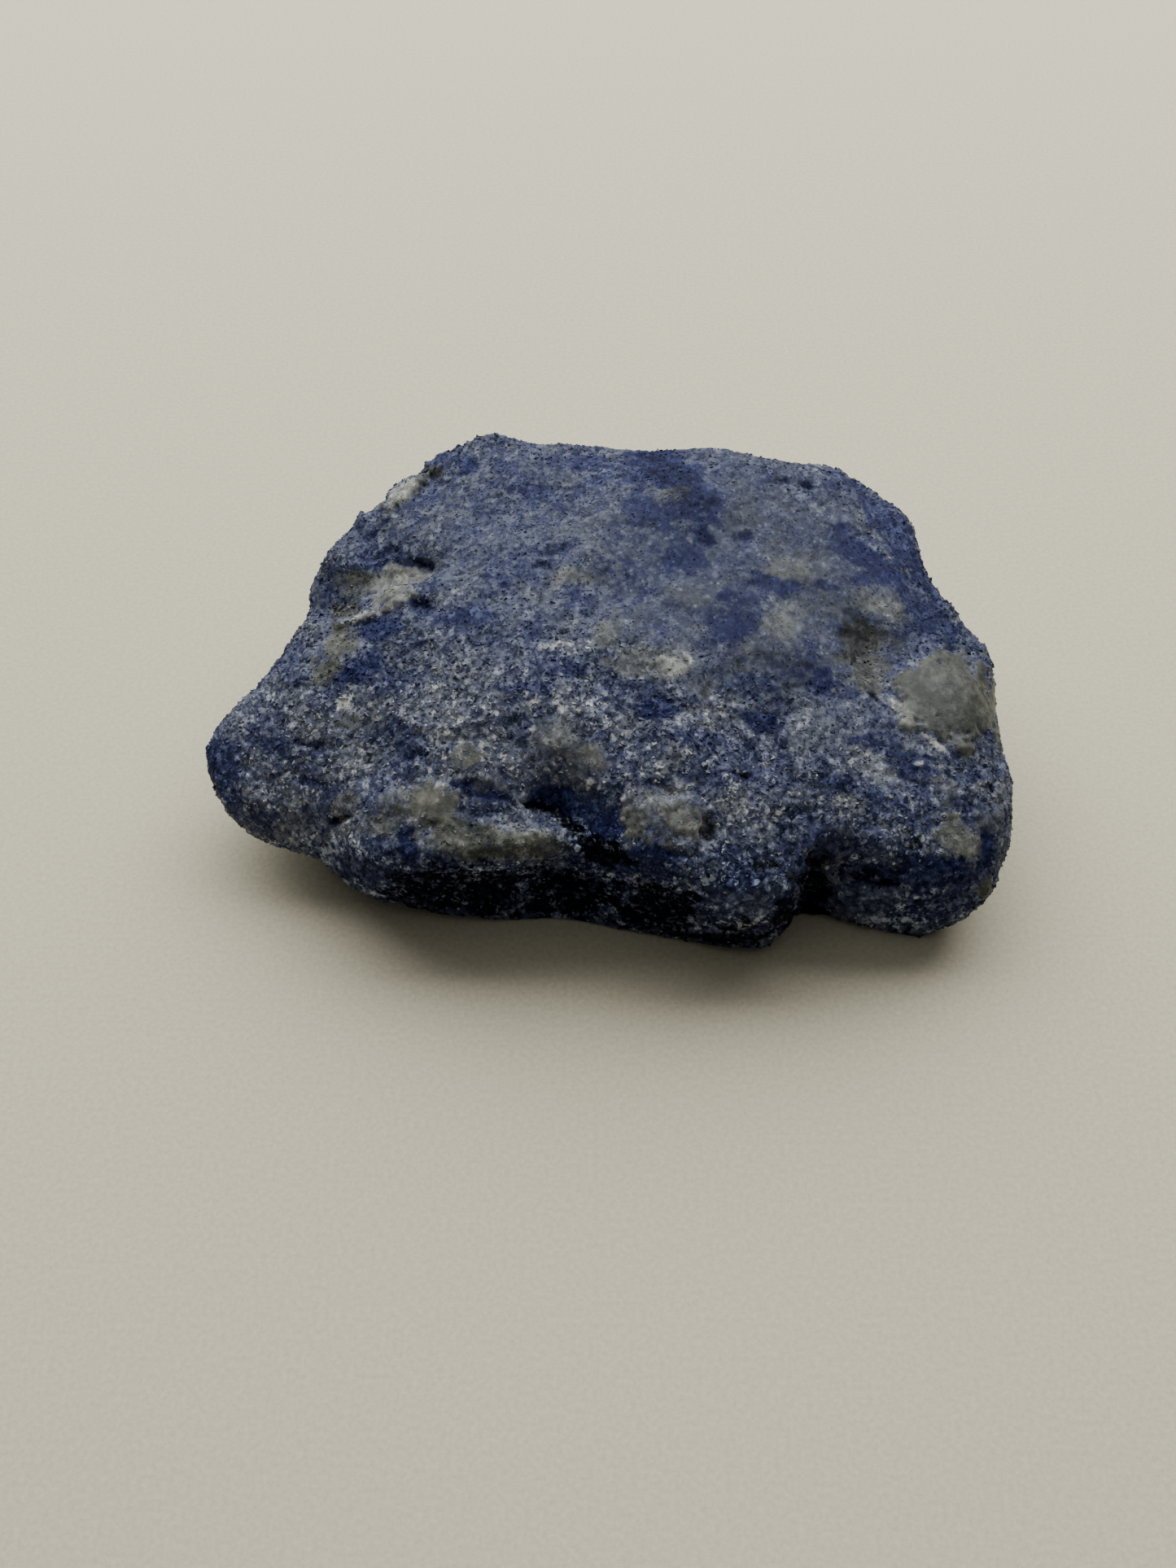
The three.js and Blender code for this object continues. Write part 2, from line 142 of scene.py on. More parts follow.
# The patches that the photograph shows: their kind and where they lie.
SPOTS = [
    # broad stretches on the front slopes where the grains are paler, and which are also painted
    # lighter as painted light where they face away from the lamps
    ("pale_and_painted_light", Oval(400, 940, 130, 100)),
    ("sugary_and_painted_light", Oval(620, 925, 150, 105)),
    ("sugary_and_painted_light", Oval(860, 955, 150, 95)),
    ("pale_and_painted_light", Oval(1060, 960, 140, 100)),
    # broad stretches of the top where the grains blend
    ("mist", Oval(640, 650, 170, 120)),
    ("mist", Oval(800, 660, 180, 120)),
    ("haze", Oval(900, 690, 200, 130)),
    ("haze", Oval(980, 740, 150, 110)),
    ("mist", Oval(1070, 880, 110, 70, turn=10)),
    # fine streaks along the upper right edge and on the left tip
    ("streak", Oval(1105, 670, 34, 80, turn=-35)),
    ("streak", Oval(320, 975, 60, 45)),
    # where the grains stand out most against their dark ground; there the grains also take a
    # painted cool shade tint
    ("crisp", Oval(895, 1105, 75, 50)),
    ("crisp", Oval(1110, 1100, 85, 50)),
    ("crisp", Oval(450, 1070, 80, 30, turn=15)),
    ("crisp", Oval(700, 1100, 260, 40, turn=6)),
    # the lobes and the cleft on the left, and the quartz in it
    ("shaded_blue_pocket", Oval(455, 662, 12, 6, turn=-40, rise=-0.2)),
    ("milk", Oval(390, 731, 7, 18, rise=0.15)),
    ("tan", Oval(443, 716, 32, 20, turn=-20)),
    # painted shade in the cleft, over dark olive quartz
    ("umber", Oval(425, 750, 24, 10, turn=-10, rise=-0.2)),
    ("umber", Oval(446, 712, 16, 10, turn=-30, rise=-0.05)),
    ("pebble", Oval(484, 704, 28, 12, turn=-10)),
    ("pebble", Oval(488, 724, 36, 22, turn=-25, rise=0.05)),
    ("pale", Oval(492, 724, 22, 11, turn=-25, rise=0.05)),
    ("white_grain_and_highlight", Oval(455, 755, 40, 5, turn=-18, rise=0.2)),
    ("shaded_blue_pocket", Oval(519, 742, 13, 9, rise=-0.35)),
    ("shaded_blue_pocket", Oval(519, 695, 14, 7, turn=20, rise=-0.2)),
    ("shaded_blue_pocket", Oval(476, 680, 16, 6, turn=-20, rise=-0.15)),
    ("glass", Oval(421, 786, 22, 22)),
    ("pale_and_painted_light", Oval(412, 790, 15, 13)),
    ("glass", Oval(402, 826, 18, 26, turn=20)),
    ("navy", Oval(466, 771, 26, 10, turn=-12, rise=0.05)),
    ("navy", Oval(432, 825, 36, 13, turn=-25)),
    ("blue", Oval(556, 760, 34, 10)),
    ("glass", Oval(498, 607, 30, 11, turn=-40, rise=0.35)),
    ("white_grain_and_highlight", Oval(495, 604, 22, 8, turn=-38)),
    ("glass", Oval(536, 578, 13, 9, turn=-20, rise=0.25)),
    # the top, from the back left to the back right
    ("navy", Oval(577, 572, 9, 8)),
    ("blue", Oval(660, 605, 14, 8)),
    ("shaded_blue_pocket", Oval(733, 588, 12, 5, rise=-0.1)),
    ("blue", Oval(725, 570, 20, 8)),
    ("shaded_navy", Oval(805, 562, 30, 8)),
    ("shaded_navy", Oval(820, 582, 42, 18, turn=10)),
    ("shaded_navy", Oval(850, 612, 36, 20, turn=15)),
    ("blue", Oval(800, 622, 34, 20, turn=20)),
    ("shaded_navy", Oval(866, 660, 12, 9, turn=25, rise=-0.08)),
    ("blue", Oval(835, 690, 24, 16)),
    ("navy", Oval(889, 731, 10, 7)),
    ("blue", Oval(904, 768, 30, 32)),
    ("navy", Oval(902, 772, 14, 14)),
    ("blue", Oval(590, 757, 16, 6)),
    ("tan", Oval(822, 606, 24, 11)),
    ("pale_and_painted_light", Oval(735, 683, 22, 12, turn=20)),
    ("tan", Oval(700, 708, 30, 16)),
    ("shaded_blue_pocket", Oval(680, 675, 24, 8, turn=-15, rise=-0.1)),
    ("shaded_blue_pocket", Oval(665, 694, 10, 6, rise=-0.15)),
    ("milk", Oval(848, 730, 40, 22, rise=0.05)),
    ("milk", Oval(915, 635, 26, 24, rise=0.05)),
    ("milk", Oval(985, 690, 60, 26, turn=10)),
    ("milk", Oval(1000, 745, 60, 26)),
    ("milk", Oval(930, 810, 60, 30)),
    ("blue", Oval(985, 718, 60, 8, turn=2)),
    ("tan", Oval(976, 700, 38, 14, turn=10)),
    ("tan", Oval(962, 770, 22, 26, turn=20)),
    ("pale", Oval(932, 735, 4, 11, turn=-40, rise=0.05)),
    ("pale", Oval(945, 740, 5, 12, turn=35, rise=0.05)),
    ("shaded_navy", Oval(916, 659, 10, 7, rise=-0.06)),
    ("navy", Oval(1035, 650, 8, 6, rise=-0.1)),
    ("shaded_blue_pocket", Oval(993, 597, 12, 5, turn=15, rise=-0.2)),
    ("shaded_blue_pocket", Oval(960, 590, 14, 4, rise=-0.1)),
    ("navy", Oval(1070, 688, 42, 13, turn=38)),
    ("blue", Oval(1075, 714, 30, 9)),
    ("pale_and_painted_light", Oval(1005, 625, 26, 6, turn=35)),
    ("blue", Oval(1114, 676, 22, 80, turn=-35)),
    ("tan", Oval(1078, 742, 42, 22, turn=15)),
    ("pale", Oval(1080, 748, 34, 16, turn=15)),
    ("blue", Oval(1140, 762, 50, 18, turn=35)),
    ("umber", Oval(1058, 792, 38, 34, turn=10, rise=-0.05)),
    ("umber", Oval(1070, 826, 26, 28, rise=-0.05)),
    ("shaded_blue_pocket", Oval(1052, 800, 24, 18, rise=-0.05)),
    ("navy", Oval(965, 725, 8, 8)),
    # the right end and its big glassy quartz
    ("lens", Oval(1168, 856, 66, 52, turn=20, rise=0.15)),
    ("tan", Oval(1108, 872, 26, 16, turn=48)),
    ("white_grain_and_highlight", Oval(1106, 874, 28, 7, turn=48, rise=0.05)),
    ("white_grain_and_highlight", Oval(1150, 915, 30, 4, turn=42, rise=0.1)),
    ("white_grain_and_highlight", Oval(1096, 843, 9, 3, turn=10, rise=0.1)),
    ("white_grain_and_highlight", Oval(1108, 854, 5, 4, rise=0.1)),
    ("pit", Oval(1074, 858, 12, 3, turn=45, rise=-0.1)),
    ("navy", Oval(1010, 840, 16, 14)),
    ("blue", Oval(972, 815, 22, 14)),
    ("navy", Oval(938, 887, 20, 11)),
    ("pale", Oval(988, 882, 12, 24, turn=20)),
    ("blue", Oval(1078, 917, 34, 16)),
    ("blue", Oval(1120, 938, 36, 14, turn=10)),
    ("white_grain_and_highlight", Oval(1130, 938, 8, 4, turn=-10, rise=0.1)),
    ("pale", Oval(1075, 950, 40, 12, turn=15)),
    ("blue", Oval(1045, 968, 36, 11, turn=20)),
    ("glass", Oval(1186, 922, 9, 13, rise=0.1)),
    ("pit", Oval(1219, 970, 4, 5, rise=-0.1)),
    ("white_grain_and_highlight", Oval(1208, 962, 8, 2, turn=-10, rise=0.1)),
    ("pebble", Oval(1177, 1028, 30, 27, turn=-20, rise=0.1)),
    ("milk", Oval(1166, 980, 16, 20, turn=10, rise=0.05)),
    ("milk", Oval(1215, 1010, 20, 18, rise=0.05)),
    ("navy", Oval(1211, 1045, 9, 26, turn=8, rise=-0.1)),
    ("pit", Oval(1124, 1040, 10, 6, turn=-20, rise=-0.12)),
    ("shaded_blue_pocket", Oval(970, 1015, 30, 28)),
    ("blue", Oval(1030, 1040, 44, 18, turn=10)),
    ("glass", Oval(1210, 1092, 8, 14, rise=0.1)),
    ("navy", Oval(1160, 1066, 40, 16, turn=10)),
    # the middle
    ("tan", Oval(745, 780, 24, 20)),
    ("tan", Oval(800, 815, 56, 22, turn=10)),
    ("white_grain_and_highlight", Oval(823, 822, 20, 13, turn=20, rise=0.05)),
    ("white_grain_and_highlight", Oval(824, 822, 16, 10, turn=20, rise=0.05)),
    ("white_grain_and_highlight", Oval(846, 810, 3, 12, turn=-40, rise=0.05)),
    ("milk", Oval(875, 838, 26, 20)),
    ("pale", Oval(700, 795, 40, 10)),
    ("pale", Oval(700, 862, 60, 14)),
    ("pale", Oval(885, 868, 34, 16)),
    ("blue", Oval(640, 845, 44, 8)),
    ("blue", Oval(700, 825, 22, 9)),
    ("navy", Oval(805, 870, 28, 11)),
    ("blue", Oval(850, 905, 36, 12, turn=5)),
    ("blue", Oval(725, 903, 16, 9)),
    ("pit", Oval(911, 953, 11, 5, turn=20, rise=-0.2)),
    ("milk", Oval(680, 905, 36, 26, rise=0.05)),
    ("pale", Oval(680, 905, 26, 18)),
    ("milk", Oval(722, 932, 30, 22, rise=0.05)),
    ("pebble", Oval(726, 930, 16, 12)),
    ("white_grain_and_highlight", Oval(725, 964, 6, 6, rise=0.1)),
    ("milk", Oval(600, 965, 22, 12)),
    # the left lobe and its tip
    ("pale", Oval(560, 872, 26, 22, turn=20)),
    ("pale", Oval(480, 878, 34, 16)),
    ("pale", Oval(525, 858, 48, 16)),
    ("white_grain_and_highlight", Oval(421, 864, 10, 8)),
    ("tan", Oval(430, 888, 24, 13)),
    ("shaded_blue_pocket", Oval(390, 915, 30, 7, turn=8, rise=-0.12)),
    ("shaded_blue_pocket", Oval(382, 960, 26, 7, turn=14, rise=-0.08)),
    ("shaded_blue_pocket", Oval(510, 928, 18, 7, turn=-12, rise=-0.1)),
    ("blue", Oval(335, 916, 18, 9)),
    ("blue", Oval(275, 940, 26, 40, turn=-20)),
    ("pebble", Oval(526, 986, 40, 27, turn=15, rise=0.1)),
    ("lens", Oval(527, 987, 28, 19, turn=15)),
    ("white_grain_and_highlight", Oval(525, 982, 20, 12, turn=15)),
    ("pebble", Oval(576, 930, 20, 14, rise=0.05)),
    ("glass", Oval(540, 1010, 28, 9)),
    ("tan", Oval(425, 984, 22, 12, rise=0.05)),
    ("pit", Oval(418, 1006, 15, 6, turn=-20, rise=-0.2)),
    ("white_grain_and_highlight", Oval(425, 1008, 5, 4, rise=0.1)),
    ("milk", Oval(478, 985, 18, 15, rise=0.08)),
    ("tan", Oval(470, 1010, 30, 18)),
    ("navy", Oval(500, 1040, 12, 24, turn=-10, rise=-0.2)),
    ("navy", Oval(590, 972, 30, 9, turn=22, rise=-0.1)),
    # the ledge, the gully and the pebbles above the front wall; the gully's pits and pockets are
    # painted dark as painted shade
    ("pit", Oval(669, 994, 24, 5, turn=14, rise=-0.25)),
    ("pit", Oval(706, 1022, 30, 8, turn=50, rise=-0.3)),
    ("shaded_blue_pocket", Oval(690, 1005, 40, 12, turn=30, rise=-0.15)),
    ("shade", Oval(745, 1045, 34, 20, turn=20)),
    ("crisp", Oval(730, 1035, 60, 36, turn=40)),
    ("navy", Oval(770, 1062, 60, 14, turn=8)),
    ("navy", Oval(690, 985, 46, 14, turn=12)),
    ("white_grain_and_highlight", Oval(704, 1022, 14, 3, turn=14, rise=0.15)),
    ("glass", Oval(600, 1034, 96, 22, rise=0.1)),
    ("pale", Oval(655, 1028, 32, 14)),
    ("pale", Oval(560, 1036, 40, 10)),
    ("pale", Oval(665, 1026, 16, 8, rise=0.05)),
    ("navy", Oval(750, 1015, 22, 20, turn=30)),
    ("navy", Oval(800, 1050, 34, 12, turn=10)),
    ("milk", Oval(826, 1006, 48, 30, turn=15, rise=0.06)),
    ("pebble", Oval(832, 1006, 28, 23, turn=15, rise=0.1)),
    ("glass", Oval(785, 1010, 20, 20, rise=0.1)),
    ("tan", Oval(822, 1038, 12, 9, rise=0.1)),
    ("pit", Oval(869, 1020, 10, 15, turn=10, rise=-0.35)),
    ("white_grain_and_highlight", Oval(862, 1018, 4, 8, turn=10)),
    # painted shade on the lower left facet, which faces away from the lamps
    ("dim", Oval(448, 1072, 38, 16, turn=12, rise=0.1)),
    # the front wall, the nose, the cave and the right lump; the wall, the cave and the foot of the
    # nose are painted near black as painted shade
    ("shade", Oval(570, 1096, 110, 34, turn=4)),
    ("shade", Oval(690, 1095, 60, 38, rise=-0.2)),
    ("shade", Oval(800, 1115, 66, 34, turn=12)),
    ("facet", Oval(905, 1105, 48, 24, rise=0.12)),
    ("pale_and_painted_light", Oval(905, 1105, 44, 22)),
    ("shade", Oval(900, 1150, 50, 14, turn=-6)),
    ("shade", Oval(965, 1125, 20, 24, turn=30)),
    ("white_grain_and_highlight", Oval(918, 1134, 20, 6, turn=-22, rise=0.1)),
    ("pit", Oval(940, 1066, 18, 7, turn=-8, rise=-0.2)),
    ("pit", Oval(1008, 1057, 18, 11, turn=-10, rise=-0.3)),
    ("pit", Oval(1000, 1098, 22, 42, rise=-0.4)),
    ("shade", Oval(1001, 1098, 20, 42, rise=-0.2)),
    ("pit", Oval(1060, 1078, 50, 8, turn=12, rise=-0.4)),
    ("white_grain_and_highlight", Oval(1014, 1066, 6, 5, rise=0.15)),
    ("facet", Oval(1060, 1108, 40, 24, rise=0.1)),
    ("navy", Oval(1120, 1078, 60, 10, turn=8)),
    ("blue", Oval(1150, 1105, 50, 18)),
    ("pale", Oval(1070, 1132, 22, 6, turn=8, rise=0.1)),
    ("pale", Oval(1115, 1112, 18, 8, turn=15, rise=0.1)),
]
# Where the outline bulges or falls back, smoothly.
BULGES = [
    Oval(1218, 800, 44, 60, rise=0.32),
    Oval(1230, 890, 30, 60, turn=10, rise=0.2),
    Oval(330, 1035, 100, 40, turn=35, rise=0.3),
    Oval(430, 1088, 80, 30, turn=18, rise=0.3),
    Oval(1122, 640, 40, 100, turn=-35, rise=0.3),
    Oval(318, 850, 30, 60, turn=40, rise=-0.15),
    Oval(1246, 1080, 36, 50, turn=10, rise=-0.35),
    Oval(448, 640, 16, 14, rise=0.25),
    Oval(390, 700, 24, 50, turn=10, rise=-0.1),
]
SPOT_EDGE = 0.5  # how soft a spot's edge is, as a share of its size
FIRM_EDGE = 0.22  # the same for the firm kinds
SPOT_RAG = 0.55  # how ragged it is
SPOT_STIR = 14  # how far its outline wanders at most, in pixels
SPOT_STIR_SHARE = 0.5  # the same, as a share of the spot's smaller half
SEEN_EDGE = (-0.15, 0.1)  # how squarely a surface faces the camera where spots start and are full

# Patches on the sides that the photograph doesn't show, where smooth noise is high: mark,
# strength, lump size, noise where it starts and where it is full, and seed.
HIDDEN_PATCHES = [
    ("glass", 0.8, 2.8 * MM, 0.36, 0.56, 31),
    ("calm", 0.45, 2.8 * MM, 0.36, 0.56, 31),
    ("pale", 0.6, 3.6 * MM, 0.1, 0.5, 32),
    ("blue", 0.8, 2.4 * MM, 0.2, 0.5, 33),
    ("dark", 0.6, 1.7 * MM, 0.4, 0.6, 34),
]
HIDDEN_FINE_SIZE = 0.25  # finer lumps, as a share of the lump size, tear those patches
HIDDEN_FINE_STRENGTH = 0.3

# ---- The stone's relief ----------------------------------------------------------------------

VOXEL = 0.125 * MM
SMOOTH_ROUNDS = 6
SMOOTH_FACTOR = 0.5
STONE_TRIANGLES = 196000
REST_BAND = 0.06 * MM  # what lies this near the floor before roughening stays flat on it
LIFT_BAND = 6 * REST_BAND  # the relief is full from this height

# Layers of smooth noise: strength, lump size and seed.
SWELLS = [(0.10, 2.3 * MM, 1), (0.05, 0.95 * MM, 2), (0.04, 0.42 * MM, 3)]  # heights in mm
PITS = [(0.8, 1.3 * MM, 4), (0.35, 0.42 * MM, 3)]
DEEP_STRETCHES = [(1.0, 2.6 * MM, 6)]  # where the crevices between clumps are deep
RAG = [(1.0, 0.8 * MM, 21), (0.6, 0.35 * MM, 22)]  # tears the spots' edges
STIR_X = [(1.0, 1.1 * MM, 23), (0.5, 0.4 * MM, 24)]  # makes their outlines wander
STIR_Y = [(1.0, 1.1 * MM, 25), (0.5, 0.4 * MM, 26)]
# Stirring moves the points themselves: lump size, how far, and seed.
CLUMP_STIR = (1.2 * MM, 0.5 * MM, 8)
HIDDEN_STIR = (1.5 * MM, 1.2 * MM, 9)
# Cells: their size and seed.
GRAIN_CELLS = (0.45 * MM, 1)
CLUMP_CELLS = (1.8 * MM, 5)  # grains hold together in clumps
CLUMP_HASH = 97.0  # scatters the clumps' own tones

# Heights in millimetres; a rim is where a cell's border starts and ends, in cell sizes.
GRAIN_HEIGHT = 0.06
GRAIN_SUNK = 0.6  # how much of a grain lies below the surface
CLUMP_HEIGHT = 0.05
CELL_RIM = (0.0, 0.35)
CREVICE_DEPTH = 0.1
CREVICE_RIM = (0.2, 0.02)
DEEP_RANGE = (-0.2, 0.4)
PIT_DEPTH = 0.10
PIT_RANGE = (0.42, 0.62)
CALM_SHARE = 0.85  # how much of the relief a calm patch loses


def smoothstep(low, high, value):
    """From 0 to 1 as the value goes from low to high, smoothly."""
    t = np.clip((value - low) / (high - low), 0, 1)
    return t * t * (3 - 2 * t)


def wave_shift(seed):
    return Vector((3.1 * seed, 7.7 * seed, 1.3 * seed))


def waves(points, size, seed):
    """Smooth noise of about -1 to 1 at each point, with lumps of that size."""
    shift = wave_shift(seed)
    return np.array([noise.noise(p / size + shift) for p in points])


def layered(points, layers):
    """The sum of some layers of smooth noise."""
    return sum(strength * waves(points, size, seed) for strength, size, seed in layers)


def stirred(points, size, far, seed):
    """The points, each moved a little by smooth noise."""
    noise.seed_set(seed)
    shift = wave_shift(seed)
    return [p + far * noise.noise_vector(p / size + shift) for p in points]


def cells(points, size, seed):
    """How far each point lies inside its cell, in cell sizes, and that cell's middle."""
    shift = Vector((5.3 * seed, 2.9 * seed, 8.1 * seed))
    found = [noise.voronoi(p / size + shift) for p in points]
    inside = np.array([distances[1] - distances[0] for distances, middles in found])
    return inside, [middles[0] for distances, middles in found]


def clumps(points):
    """How far each point lies inside its clump, and the clump's own tone."""
    inside, middles = cells(stirred(points, *CLUMP_STIR), *CLUMP_CELLS)
    return inside, np.array([noise.cell(CLUMP_HASH * middle) for middle in middles])


def apply_modifiers(obj):
    graph = bpy.context.evaluated_depsgraph_get()
    mesh = bpy.data.meshes.new_from_object(obj.evaluated_get(graph))
    obj.modifiers.clear()
    obj.data = mesh


def fine_stone():
    """The CAD solid as one even fine mesh, with its facets eased."""
    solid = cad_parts["dumortierite_stone"]
    stone = bpy.data.objects.new("stone", solid.data.copy())
    bpy.context.scene.collection.objects.link(stone)
    remesh = stone.modifiers.new("remesh", "REMESH")
    remesh.mode = "VOXEL"
    remesh.voxel_size = VOXEL
    ease = stone.modifiers.new("ease", "SMOOTH")
    ease.factor = SMOOTH_FACTOR
    ease.iterations = SMOOTH_ROUNDS
    apply_modifiers(stone)
    return stone


def thin_out(stone):
    """Fewer faces where the surface is flat."""
    triangles = 2 * len(stone.data.polygons)
    fewer = stone.modifiers.new("fewer", "DECIMATE")
    fewer.ratio = min(1.0, STONE_TRIANGLES / triangles)
    apply_modifiers(stone)


def read_vertices(mesh):
    co = np.empty(3 * len(mesh.vertices))
    mesh.vertices.foreach_get("co", co)
    return co.reshape(-1, 3)


def read_normals(mesh):
    normals = np.empty(3 * len(mesh.vertices))
    mesh.vertex_normals.foreach_get("vector", normals)
    return normals.reshape(-1, 3)


def reach_from(x, y, oval):
    """How far each place lies from an oval's middle; its edge is at 1."""
    angle = math.radians(oval.turn)
    across = x - oval.x
    down = y - oval.y
    along = across * math.cos(angle) + down * math.sin(angle)
    beside = down * math.cos(angle) - across * math.sin(angle)
    return np.hypot(along / oval.half_width, beside / oval.half_height)


def bulges(co):
    """How far the broad bulges raise each vertex, in millimetres."""
    x, y = photo_pixels(co)
    return sum(oval.rise * smoothstep(1, 0, reach_from(x, y, oval)) for oval in BULGES)


def spot_shares(co, points, seen):
    """Each spot's kind and oval, and how much of it each vertex has, from 0 to 1."""
    x, y = photo_pixels(co)
    rag = layered(points, RAG)
    stir_x = layered(points, STIR_X)
    stir_y = layered(points, STIR_Y)
    for kind, oval in SPOTS:
        stir = min(SPOT_STIR, SPOT_STIR_SHARE * min(oval.half_width, oval.half_height))
        reach = reach_from(x + stir * stir_x, y + stir * stir_y, oval)
        torn = reach + SPOT_RAG * rag * np.minimum(reach, 1)
        edge = FIRM_EDGE if kind in FIRM_KINDS else SPOT_EDGE
        yield kind, oval, seen * smoothstep(1 + edge, 1 - edge, torn)


def find_marks(co, normals, points):
    """The marks at each vertex, and how far the spots raise it in millimetres."""
    away = np.array(camera_place) - co
    away /= np.linalg.norm(away, axis=1)[:, None]
    seen = smoothstep(*SEEN_EDGE, (away * normals).sum(axis=1))
    marks = {name: np.zeros(len(co)) for name in MARKS}
    raised = np.zeros(len(co))
    for kind, oval, share in spot_shares(co, points, seen):
        for name, strength in KINDS[kind].items():
            marks[name] = np.maximum(marks[name], strength * share)
        raised += oval.rise * share
    wandering = stirred(points, *HIDDEN_STIR)
    for name, strength, size, low, high, seed in HIDDEN_PATCHES:
        lumps = waves(wandering, size, seed)
        lumps += HIDDEN_FINE_STRENGTH * waves(points, HIDDEN_FINE_SIZE * size, seed)
        share = (1 - seen) * smoothstep(low, high, lumps)
        marks[name] = np.maximum(marks[name], strength * share)
    return marks, raised


def relief(points):
    """How high the rough surface stands over the smooth one, in millimetres."""
    rise = layered(points, SWELLS)
    inside_grain = cells(points, *GRAIN_CELLS)[0]
    rise += GRAIN_HEIGHT * (smoothstep(*CELL_RIM, inside_grain) - GRAIN_SUNK)
    inside, own = clumps(points)
    deep = smoothstep(*DEEP_RANGE, layered(points, DEEP_STRETCHES))
    crevices = CREVICE_DEPTH * deep * smoothstep(*CREVICE_RIM, inside)
    rise += CLUMP_HEIGHT * own * smoothstep(*CELL_RIM, inside) - crevices
    return rise - PIT_DEPTH * smoothstep(*PIT_RANGE, layered(points, PITS))


def roughen(stone):
    """Give the smooth mesh its relief, and keep its resting face flat."""
    mesh = stone.data
    co = read_vertices(mesh)
    normals = read_normals(mesh)
    points = [Vector(p) for p in co]
    marks, raised = find_marks(co, normals, points)
    rise = relief(points) * (1 - CALM_SHARE * marks["calm"]) + raised + bulges(co)
    lift = smoothstep(REST_BAND, LIFT_BAND, co[:, 2])
    co = co + normals * (rise * MM * lift)[:, None]
    co[:, 2] = np.where(co[:, 2] < REST_BAND, 0, co[:, 2])
    mesh.vertices.foreach_set("co", co.ravel())
    mesh.update()


def write_mark(mesh, name, values):
    mark = mesh.attributes.new(name, "FLOAT", "POINT")
    mark.data.foreach_set("value", values.astype(np.float32))


def mark(stone):
    """Write the marks on the mesh, for the material and the grains to read."""
    mesh = stone.data
    co = read_vertices(mesh)
    points = [Vector(p) for p in co]
    marks = find_marks(co, read_normals(mesh), points)[0]
    marks["clump"] = clumps(points)[1]
    for name, values in marks.items():
        write_mark(mesh, name, values)


# ---- Loose grains ----------------------------------------------------------------------------

GRAIN_SEED = 7
GRAIN_SPACING = 0.2 * MM
TRIES_A_GRAIN = 4  # samples for each grain, so that few places are left bare
GRAIN_FLOOR_GAP = 3 * REST_BAND  # grains lie higher than this
GRAINS_A_PIECE = 16500
GRAIN_PIECES = 3
GRAIN_HALF = (0.05 * MM, 0.13 * MM)  # half a grain's width, smallest and largest
GRAIN_SMALLNESS = 1.6  # over 1, small grains are more common than large ones
GRAIN_CALM_SHARE = 0.9  # how much smaller grains are in a calm patch
CORNER_STRETCH = (0.45, 1.1)  # how far a block's corners lie from its middle, as shares
SIDE_STRETCH = (0.7, 1.3)  # the same along each axis
GRAIN_DEPTH = (-1.0, -0.55)  # how deep a grain's middle sits, as shares of its half width

BLOCK_CORNERS = [(x, y, z) for z in (-1, 1) for y in (-1, 1) for x in (-1, 1)]
CORNERS = len(BLOCK_CORNERS)
BLOCK_SIDES = [(0, 2, 3, 1), (4, 5, 7, 6), (0, 1, 5, 4), (2, 6, 7, 3), (0, 4, 6, 2), (1, 3, 7, 5)]


def read_mark(mesh, name):
    values = np.empty(len(mesh.vertices), dtype=np.float32)
    mesh.attributes[name].data.foreach_get("value", values)
    return values


def surface_samples(mesh, random):
    """Places spread evenly over the mesh, with their normals and the marks there."""
    mesh.calc_loop_triangles()
    corners = np.empty(3 * len(mesh.loop_triangles), dtype=np.int64)
    mesh.loop_triangles.foreach_get("vertices", corners)
    corners = corners.reshape(-1, 3)
    co = read_vertices(mesh)
    a, b, c = [co[corners[:, k]] for k in range(3)]
    twice_area = np.linalg.norm(np.cross(b - a, c - a), axis=1)
    tries = int(TRIES_A_GRAIN * twice_area.sum() / 2 / GRAIN_SPACING**2)
    chosen = random.choice(len(twice_area), tries, p=twice_area / twice_area.sum())
    u, v = random.random((2, tries))
    outside = u + v > 1
    u = np.where(outside, 1 - u, u)
    v = np.where(outside, 1 - v, v)
    shares = np.stack([1 - u - v, u, v], axis=1)

    def at_samples(values):
        """The values at the samples, between those at their triangles' corners."""
        found = values[corners[chosen]]
        return (found * (shares[:, :, None] if found.ndim == 3 else shares)).sum(axis=1)

    places = at_samples(co)
    boxes = np.floor(places / GRAIN_SPACING).astype(np.int64)
    first = np.unique(boxes, axis=0, return_index=True)[1]
    first = random.permutation(first[places[first, 2] > GRAIN_FLOOR_GAP])
    marks = {name: at_samples(read_mark(mesh, name))[first] for name in MARKS}
    return places[first], at_samples(read_normals(mesh))[first], marks


def turns(count, random):
    """Random rotation matrices."""
    w, x, y, z = random.normal(size=(4, count))
    length = np.sqrt(w * w + x * x + y * y + z * z)
    w, x, y, z = w / length, x / length, y / length, z / length
    rows = [
        [1 - 2 * (y * y + z * z), 2 * (x * y - z * w), 2 * (x * z + y * w)],
        [2 * (x * y + z * w), 1 - 2 * (x * x + z * z), 2 * (y * z - x * w)],
        [2 * (x * z - y * w), 2 * (y * z + x * w), 1 - 2 * (x * x + y * y)],
    ]
    return np.array(rows).transpose(2, 0, 1)


